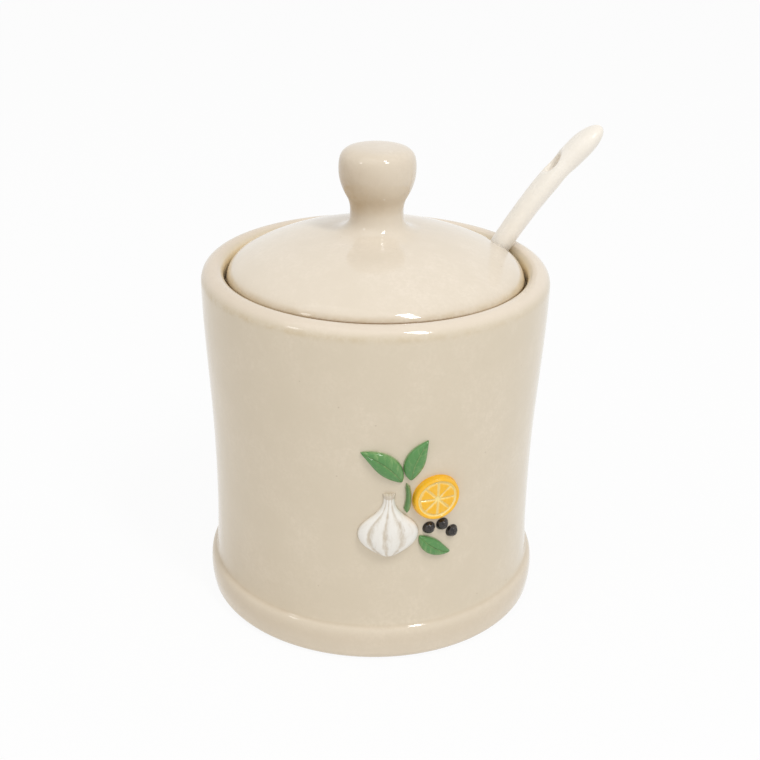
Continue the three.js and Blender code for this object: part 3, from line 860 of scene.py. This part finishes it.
def make_handle():
    root = 2 * BOWL_HALF_LENGTH - BOWL_WALL
    shoulder = SPOON_LENGTH - HANDLE_END_ROUNDING
    end_shares = np.sin(np.linspace(0, math.pi / 2, 26))[1:-1]
    stations = [(along, 1) for along in np.linspace(root, shoulder, 90)]
    stations += [
        (shoulder + HANDLE_END_ROUNDING * share, math.sqrt(1 - share ** 2)) for share in end_shares
    ]
    rings = []
    for along, fullness in stations:
        thickness = handle_size(HANDLE_ROOT_THICKNESS, HANDLE_END_THICKNESS, along) * fullness
        width = handle_size(HANDLE_ROOT_WIDTH, HANDLE_END_WIDTH, along) * fullness
        rings.append(handle_ring(along, thickness / 2, width / 2))
    last = [handle_back(SPOON_LENGTH), 0, SPOON_LENGTH]
    return skin([0, 0, root], np.array(rings), last)


def make_bowl():
    """An oval cup: out over the back, round the rim and in over the hollow."""
    angles = np.linspace(0, 2 * math.pi, BOWL_STEPS, endpoint=False)
    rings = []
    for sink in np.linspace(math.pi / 2, 0, 32)[1:]:
        rings.append(bowl_ring(angles, sink, 0))
    for sink in np.linspace(0, math.pi / 2, 28)[:-1]:
        rings.append(bowl_ring(angles, sink, BOWL_WALL))
    first = [BOWL_DEPTH - BOWL_RIM_RISE, 0, BOWL_HALF_LENGTH]
    last = [BOWL_DEPTH - BOWL_WALL - BOWL_RIM_RISE, 0, BOWL_HALF_LENGTH]
    return skin(first, np.array(rings), last)


def bowl_ring(angles, sink, inset):
    reach = math.cos(sink)
    return np.column_stack([
        np.full(len(angles), (BOWL_DEPTH - inset) * math.sin(sink) - BOWL_RIM_RISE),
        (BOWL_HALF_WIDTH - inset) * reach * np.sin(angles),
        BOWL_HALF_LENGTH + (BOWL_HALF_LENGTH - inset) * reach * np.cos(angles),
    ])


def hanging_hole():
    """The shape that the handle loses: a round hole, flared at both faces."""
    along = SPOON_LENGTH - HOLE_INSET
    half = handle_size(HANDLE_ROOT_THICKNESS, HANDLE_END_THICKNESS, along) / 2
    mouth = HOLE_RADIUS + HOLE_FLARE + OVERRUN
    end = half + OVERRUN
    neck = half - HOLE_FLARE
    profile = np.array([
        (0, -end), (mouth, -end), (HOLE_RADIUS, -neck), (HOLE_RADIUS, neck), (mouth, end), (0, end),
    ])
    hole = turned("hole", profile, HOLE_STEPS)
    turn = Matrix.Rotation(float(handle_turn(along)), 4, "Y") @ Matrix.Rotation(math.pi / 2, 4, "Y")
    hole.data.transform(Matrix.Translation((handle_back(along), 0, along)) @ turn)
    return hole


def leaned(points, place):
    """Points of the spoon's own frame in the jar's frame."""
    x, y, z = np.asarray(points, float).T
    return np.column_stack([
        place.x + x * math.cos(SPOON_SLANT) + z * math.sin(SPOON_SLANT),
        place.y + y,
        place.z - x * math.sin(SPOON_SLANT) + z * math.cos(SPOON_SLANT),
    ])


def find_spoon_place():
    """Where the spoon's own origin lies, from the box that the part's spoon fills."""
    points = np.vstack([make_handle()[0], make_bowl()[0]])
    leaned_points = leaned(points, Vector((0, 0, 0)))
    low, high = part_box("spoon")
    middle = (leaned_points.min(axis=0) + leaned_points.max(axis=0)) / 2
    return (low + high) / 2 - Vector(middle)


def make_spoon(spoon_place):
    handle = mesh_object("handle", *make_handle())
    cut(handle, hanging_hole())
    spoon = mesh_object("ivory_spoon", *make_bowl())
    joined = bmesh.new()
    joined.from_mesh(spoon.data)
    joined.from_mesh(handle.data)
    joined.to_mesh(spoon.data)
    joined.free()
    bpy.data.objects.remove(handle)
    applied(spoon, "REMESH", mode="VOXEL", voxel_size=SPOON_VOXEL)
    applied(spoon, "SMOOTH", factor=0.5, iterations=SPOON_SMOOTHINGS)
    points = coordinates(spoon)
    along = points[:, 2]
    inside = band(along, BOWL_HALF_LENGTH, BOWL_HALF_LENGTH) * (points[:, 0] > -BOWL_RIM_RISE)
    from_hole = np.hypot(points[:, 1], along - (SPOON_LENGTH - HOLE_INSET))
    hollow = from_hole < HOLE_RADIUS + HOLE_FLARE / 2
    tip = rising(along, SPOON_LENGTH - HOLE_INSET, HOLE_INSET)
    # Darker inside the bowl and towards the handle's end, and painted shade on the wall of the hanging hole
    paint(spoon, "pool", 0.12 * inside + 0.1 * tip + 0.12 * hollow)
    for name in ("seam", "worn", "blush", "brim", "bare"):
        paint(spoon, name, np.zeros(len(points)))
    place_points(spoon, leaned(points, spoon_place))
    spoon.data.materials.append(glaze("spoon_glaze", SPOON_IVORY, 0.3, wavy=0.06, speckled=0.12))
    fit(spoon, "spoon", "spoon_glaze", "spoon")


# Relief on the wall

def on_wall(u, v, lift):
    """Points at u and v from the relief's centre, lifted off the wall."""
    height = RELIEF_HEIGHT + v
    radius = wall_radius(height) + lift
    azimuth = RELIEF_AZIMUTH + u / float(wall_radius(np.array(RELIEF_HEIGHT)))
    around = (radius * np.cos(azimuth), radius * np.sin(azimuth))
    return np.stack(np.broadcast_arrays(*around, height), axis=-1)


def relief_piece(name, node_name, first, rings, last, tone, edge, material):
    """A closed piece from its rings, with tone and edge painted ring by ring."""
    piece = mesh_object(name, *skin(first, np.array(rings), last))
    for key, rows in (("tone", tone), ("edge", edge)):
        values = np.array(rows)
        paint(piece, key, np.concatenate([[values[0, 0]], values.ravel(), [values[-1, 0]]]))
    piece.data.materials.append(material)
    fit(piece, "jar", material.name.removesuffix(COAT), node_name)


def pad(name, node_name, centre, radius, lift_at, tone_at, material, rings, steps):
    """A round pad: lift_at(share, angle) is its height at a share of its radius."""
    angles = np.linspace(0, 2 * math.pi, steps, endpoint=False)
    made, tone, edge = [], [], []

    def add_ring(reach, lift, tones, level):
        made.append(on_wall(centre[0] + reach * np.cos(angles), centre[1] + reach * np.sin(angles), lift))
        tone.append(tones)
        edge.append(np.full(steps, float(level)))

    for share in np.sin(np.linspace(0, math.pi / 2, rings + 1))[1:]:
        shares = np.full(steps, share)
        add_ring(radius * share, lift_at(shares, angles), tone_at(shares, angles), 0)
    for out, lift, level in PAD_FOOT_SHARES:
        add_ring(radius + RELIEF_FLARE * out, lift * RELIEF_SINK, tone[rings - 1], level)
    first = on_wall(*centre, lift_at(np.zeros(1), np.zeros(1)))
    last = on_wall(*centre, -RELIEF_SINK)
    relief_piece(name, node_name, first, made, last, tone, edge, material)


def strip(name, node_name, line_at, width_at, lift_at, tone_at, material, stations, across):
    """A long pad along a line: width_at(share) is its half width, lift_at(share, side) its height."""
    sides = np.sin(np.linspace(-math.pi / 2, math.pi / 2, across))
    foot = np.array(STRIP_FOOT_SHARES)
    near = rising(np.abs(sides), STRIP_EDGE_SHARE, 1 - STRIP_EDGE_SHARE)
    levels = np.concatenate([0.6 * near, np.ones(len(foot))])
    made, tone, edge = [], [], []
    for angle in np.linspace(0, math.pi, stations + 2)[1:-1]:
        share = (1 - math.cos(angle)) / 2
        u, v, turn = line_at(share)
        half = width_at(share)
        wide = np.concatenate([half * sides, half * foot + np.sign(foot) * RELIEF_FLARE])
        lift = np.concatenate([lift_at(share, sides), np.full(len(foot), -RELIEF_SINK)])
        made.append(on_wall(u + wide * math.cos(turn), v + wide * math.sin(turn), lift))
        tone.append(np.concatenate([tone_at(share, sides), np.zeros(len(foot))]))
        edge.append(levels)
    first = on_wall(*line_at(0)[:2], -RELIEF_SINK)
    last = on_wall(*line_at(1)[:2], -RELIEF_SINK)
    relief_piece(name, node_name, first, made, last, tone, edge, material)


def straight(start, length, lean=0, bow=0):
    """A line up the wall from a start point, leaning and bowed, as share -> u, v, turn."""
    def line_at(share):
        along = length * share
        aside = bow * 4 * share * (1 - share)
        return (
            start[0] - along * math.sin(lean) + aside * math.cos(lean),
            start[1] + along * math.cos(lean) + aside * math.sin(lean),
            lean - math.atan(bow * 4 * (1 - 2 * share) / length),
        )
    return line_at


def make_garlic():
    material = enamel("garlic_white", srgb(238, 234, 226), srgb(205, 192, 172), 0.12)
    stops = np.linspace(0, 1, len(GARLIC_WIDTH_SHARES))
    fine_stops, fine_shares = spline(np.column_stack([stops, GARLIC_WIDTH_SHARES]), 8).T
    creases = np.array(GARLIC_CREASE_SHARES)

    def width_at(share):
        return GARLIC_HALF_WIDTH * np.interp(share, fine_stops, fine_shares)

    def lobes(sides):
        gap = np.min(np.abs(sides[:, None] - creases), axis=1)
        return np.clip(gap / 0.16, 0, 1)

    def lift_at(share, sides):
        full = np.interp(share, fine_stops, fine_shares) ** 0.5
        ends = min(1, share / 0.03, (1 - share) / 0.015)
        bulb = np.sqrt(1 - sides ** 2 * 0.96)
        groove = (1 - lobes(sides) ** 0.6) * 0.2 * math.sin(math.pi * min(1, share * 1.15))
        return GARLIC_DEPTH * full * (bulb - groove) * ends ** 0.5

    # Painted shade in the creases between the cloves, with papery streaks and a tan neck
    def tone_at(share, sides):
        streaks = 0.125 * (np.sin(sides * 26) > 0.6)
        return np.clip((1 - lobes(sides)) * 0.7 + streaks + (share > GARLIC_NECK_SHARE) * 0.7, 0, 1)

    strip("garlic", "garlic_bulb", straight(GARLIC_START, GARLIC_LENGTH),
          width_at, lift_at, tone_at, material, stations=90, across=72)


def make_lemon():
    material = enamel("lemon_yellow", srgb(247, 186, 32), srgb(250, 226, 150), 0.1)

    def flesh(share, angle):
        """0 on the rind and membranes, 1 in the middle of each segment."""
        spread = np.abs((angle * LEMON_SEGMENTS / (2 * math.pi)) % 1 - 0.5) * 2
        from_membrane = share * np.sin((1 - spread) * math.pi / LEMON_SEGMENTS)
        room = np.minimum(LEMON_FLESH_SHARE - share, share - LEMON_HEART_SHARE)
        return np.clip(np.minimum(from_membrane, room) * LEMON_RADIUS / MEMBRANE_FADE, 0, 1)

    def lift_at(share, angle):
        outward = np.clip(share - LEMON_RIND_SHARE, 0, 1) / (1 - LEMON_RIND_SHARE)
        rind = LEMON_DEPTH * np.sqrt(np.clip(1 - outward ** 4, 0, 1))
        dish = LEMON_DEPTH - LEMON_GROOVE * (1 - 0.75 * flesh(share, angle) ** 0.5)
        return dish + (rind - dish) * rising(share, LEMON_LIP_SHARE, LEMON_LIP_WIDTH_SHARE)

    def tone_at(share, angle):
        return (share < LEMON_RIND_SHARE) * (1 - flesh(share, angle))

    pad("lemon", "lemon_slice", LEMON_PLACE, LEMON_RADIUS, lift_at, tone_at, material, rings=56, steps=160)


def make_leaves():
    material = enamel("leaf_green", srgb(86, 140, 76), srgb(140, 172, 108), 0.14)

    def veins(share, sides):
        side_veins = np.abs(((share * 7 - np.abs(sides) * 1.1) % 1) - 0.5) * 2
        return np.clip((0.22 - side_veins) / 0.22, 0, 1) * (np.abs(sides) < 0.85)

    def lift_at(share, sides):
        full = LEAF_DEPTH * math.sin(math.pi * share) ** 0.4
        crown = 0.25 + 0.72 * (1 - np.abs(sides) ** 2.6) ** 0.5
        creases = 1 - 0.24 * band(sides, 0, 0.09) - 0.05 * veins(share, sides)
        rim = np.clip((1 - np.abs(sides)) / 0.02 + 0.2, 0, 1)
        return full * crown * creases * rim

    def tone_at(share, sides):
        lines = 0.75 * band(sides, 0, 0.07) + 0.4 * veins(share, sides)
        return np.clip(lines + 0.35 * np.clip(sides, 0, 1), 0, 1)

    for name, (start, lean, length, width, bow) in LEAVES.items():
        def width_at(share, width=width):
            return width / 2 * math.sin(math.pi * share ** 0.85) ** 0.85

        strip(name + "_painted", name, straight(start, length, math.radians(lean), bow),
              width_at, lift_at, tone_at, material, stations=70, across=48)


def make_stem():
    material = enamel("stem_green", srgb(84, 130, 72), srgb(124, 152, 94), 0.14)

    def width_at(share):
        return STEM_HALF_WIDTH * (1 - 0.4 * share) * min(1, 8 * share, 8 - 8 * share)

    def lift_at(share, sides):
        ends = min(1, 20 * share, 20 - 20 * share)
        return STEM_DEPTH * np.sqrt(1 - sides ** 2 * 0.98) * ends ** 0.5

    def tone_at(share, sides):
        return 0.5 + 0.5 * sides

    strip("stem", "bay_stem", straight(STEM_START, STEM_LENGTH, 0, STEM_BOW),
          width_at, lift_at, tone_at, material, stations=40, across=20)


def make_peppercorns():
    material = enamel("pepper_black", srgb(22, 20, 20), srgb(58, 50, 44), 0.1)

    def wrinkles(share, angle, index):
        return np.sin(angle * 5 + index + share * 9) * np.sin(share * 11 + index)

    for index, place in enumerate(PEPPER_PLACES, 1):
        def lift_at(share, angle, index=index):
            ball = np.sqrt(np.clip(1 - share ** 2, 0, 1))
            return PEPPER_RADIUS * ball * (1 + 0.06 * wrinkles(share, angle, index))

        def tone_at(share, angle, index=index):
            return 0.5 + 0.5 * wrinkles(share, angle, index)

        pad(f"pepper_{index}", f"peppercorn_{index}", place, PEPPER_RADIUS, lift_at, tone_at, material,
            rings=20, steps=56)


# Room

def seen_directly(tree):
    """1 for what the camera or a glossy reflection sees, and 0 for other light."""
    ray = node(tree, "ShaderNodeLightPath").outputs
    return math_node(tree, "MAXIMUM", ray["Is Camera Ray"], ray["Is Glossy Ray"])


def make_floor():
    corners = [(-1, -1), (1, -1), (1, 1), (-1, 1)]
    floor = mesh_object("floor", [(FLOOR_HALF * x, FLOOR_HALF * y, 0) for x, y in corners], [(0, 1, 2, 3)])
    material, tree, shader = blank_material("floor_paper")
    shader.inputs["Base Color"].default_value = (0.9, 0.9, 0.9, 1)
    shader.inputs["Roughness"].default_value = 0.9
    shader.inputs["Specular IOR Level"].default_value = 0
    white = node(tree, "ShaderNodeEmission", {"Color": (1, 1, 1, 1), "Strength": WHITE_LEVEL})
    seen = math_node(tree, "MULTIPLY", seen_directly(tree), FLOOR_SEEN_SHARE)
    shown = node(tree, "ShaderNodeMixShader", {
        0: seen, 1: shader.outputs["BSDF"], 2: white.outputs["Emission"],
    })
    tree.links.new(shown.outputs["Shader"], tree.nodes["Material Output"].inputs["Surface"])
    floor.data.materials.append(material)


def make_world():
    world = bpy.data.worlds.new("studio")
    world.use_nodes = True
    tree = world.node_tree
    background = tree.nodes["Background"]
    strength = node(tree, "ShaderNodeMapRange", {
        "Value": seen_directly(tree), "To Min": SKY_LEVEL, "To Max": WHITE_LEVEL,
    })
    background.inputs["Color"].default_value = (1, 1, 1, 1)
    tree.links.new(strength.outputs["Result"], background.inputs["Strength"])
    bpy.context.scene.world = world


def make_lamp(name, azimuth, elevation, distance, width, height, power):
    """A soft lamp that looks at the middle of the jar. Azimuth 0 is the front, positive to the right."""
    middle = Vector((0, 0, JAR_HEIGHT / 2))
    turn = math.radians(azimuth)
    rise = math.radians(elevation)
    back = Vector((math.sin(turn) * math.cos(rise), -math.cos(turn) * math.cos(rise), math.sin(rise)))
    data = bpy.data.lights.new(name, "AREA")
    data.shape = "RECTANGLE"
    data.size = width
    data.size_y = height
    data.energy = power
    lamp = bpy.data.objects.new(name, data)
    lamp.location = middle + back * distance
    lamp.rotation_euler = back.to_track_quat("Z", "Y").to_euler()
    bpy.context.scene.collection.objects.link(lamp)


def make_camera():
    data = bpy.data.cameras.new("camera")
    data.lens = CAMERA_LENS
    data.sensor_width = SENSOR_WIDTH
    camera = bpy.data.objects.new("camera", data)
    right = Vector((1, 0, 0))
    up = Vector((0, math.sin(CAMERA_PITCH), math.cos(CAMERA_PITCH)))
    forward = Vector((0, math.cos(CAMERA_PITCH), -math.sin(CAMERA_PITCH)))
    rolled_right = right * math.cos(CAMERA_ROLL) + up * math.sin(CAMERA_ROLL)
    rolled_up = up * math.cos(CAMERA_ROLL) - right * math.sin(CAMERA_ROLL)
    turn = Matrix((rolled_right, rolled_up, -forward)).transposed().to_4x4()
    camera.matrix_world = Matrix.Translation(CAMERA_PLACE) @ turn
    bpy.context.scene.collection.objects.link(camera)
    bpy.context.scene.camera = camera


spoon_place = find_spoon_place()
make_pot()
make_lid(spoon_place)
make_spoon(spoon_place)
make_garlic()
make_lemon()
make_leaves()
make_stem()
make_peppercorns()

make_camera()
make_world()
make_floor()
for lamp_name, lamp_values in LAMPS.items():
    make_lamp(lamp_name, *lamp_values)
bpy.context.scene.view_settings.view_transform = "Standard"
